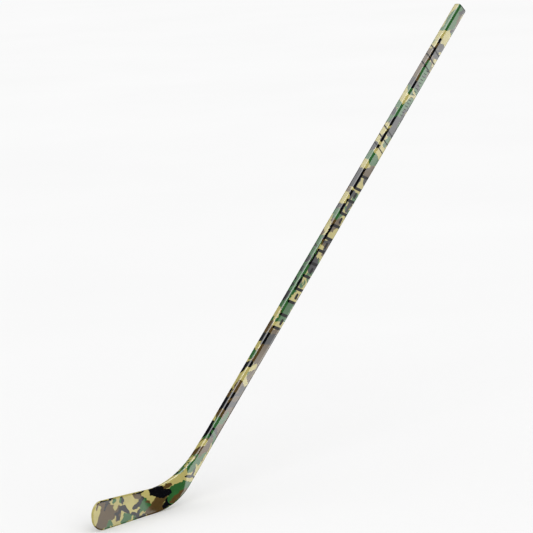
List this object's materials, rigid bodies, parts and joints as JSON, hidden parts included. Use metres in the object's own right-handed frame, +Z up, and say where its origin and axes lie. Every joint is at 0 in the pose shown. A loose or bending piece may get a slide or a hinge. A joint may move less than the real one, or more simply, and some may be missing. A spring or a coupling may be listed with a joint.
{
  "type": "ice hockey stick",
  "caption": "Player's ice hockey stick: hollow laminated shaft with rounded corners and a removable end cap, bonded to a low curved foam-cored blade.",
  "frame": {"origin": "the heel point: where the line of the shaft's back edge meets the ice, midway through the shaft's thickness", "axes": "+Z up from the ice; the shaft rises at 45 degrees towards +X, and the toe points towards -X; -Y is the way the forehand face looks, and +Y the backhand face"},
  "size_m": [1.2623, 0.0272, 1.0371],
  "materials": {
    "camo_film": "gloss clear-coated woodland camouflage print: sand, green, brown and black patches",
    "camo_grip": "the same print over fine raised diagonal ribs",
    "camo_cap": "moulded cap, printed and clear-coated like the shaft",
    "carbon_wrap": "carbon fibre in epoxy, twill wrap",
    "carbon_ply": "carbon fibre in epoxy, plies laid along the stick",
    "carbon_moulding": "chopped carbon and epoxy moulding",
    "foam": "rigid closed-cell foam, cream",
    "dense_foam": "dense structural foam, tan",
    "adhesive": "cured epoxy adhesive, amber"
  },
  "bodies": {
    "stick": {"shaft_camo_film": "camo_film", "shaft_outer_wrap": "carbon_wrap", "forehand_stiffening_ply": "carbon_ply", "backhand_stiffening_ply": "carbon_ply", "toe_side_ply": "carbon_ply", "heel_side_ply": "carbon_ply", "shaft_inner_wrap": "carbon_wrap", "toe_side_grip_texture": "camo_grip", "heel_side_grip_texture": "camo_grip", "shaft_damping_foam": "foam", "blade_tenon": "carbon_moulding", "tenon_adhesive": "adhesive", "blade_camo_film": "camo_film", "hosel_core": "dense_foam", "forehand_skin": "carbon_wrap", "backhand_skin": "carbon_wrap", "sole_edge_band": "carbon_moulding", "top_edge_band": "carbon_moulding", "toe_insert": "carbon_moulding", "lower_foam_core": "foam", "upper_foam_core": "foam", "blade_stringer": "carbon_ply"},
    "end_cap": {"butt_cap": "camo_cap"}
  },
  "joints": [
    {"name": "end_cap_slide", "type": "slide", "parent": "stick", "child": "end_cap", "axis": [0.7071, 0, 0.7071], "range_m": [0, 0.06]}
  ]
}
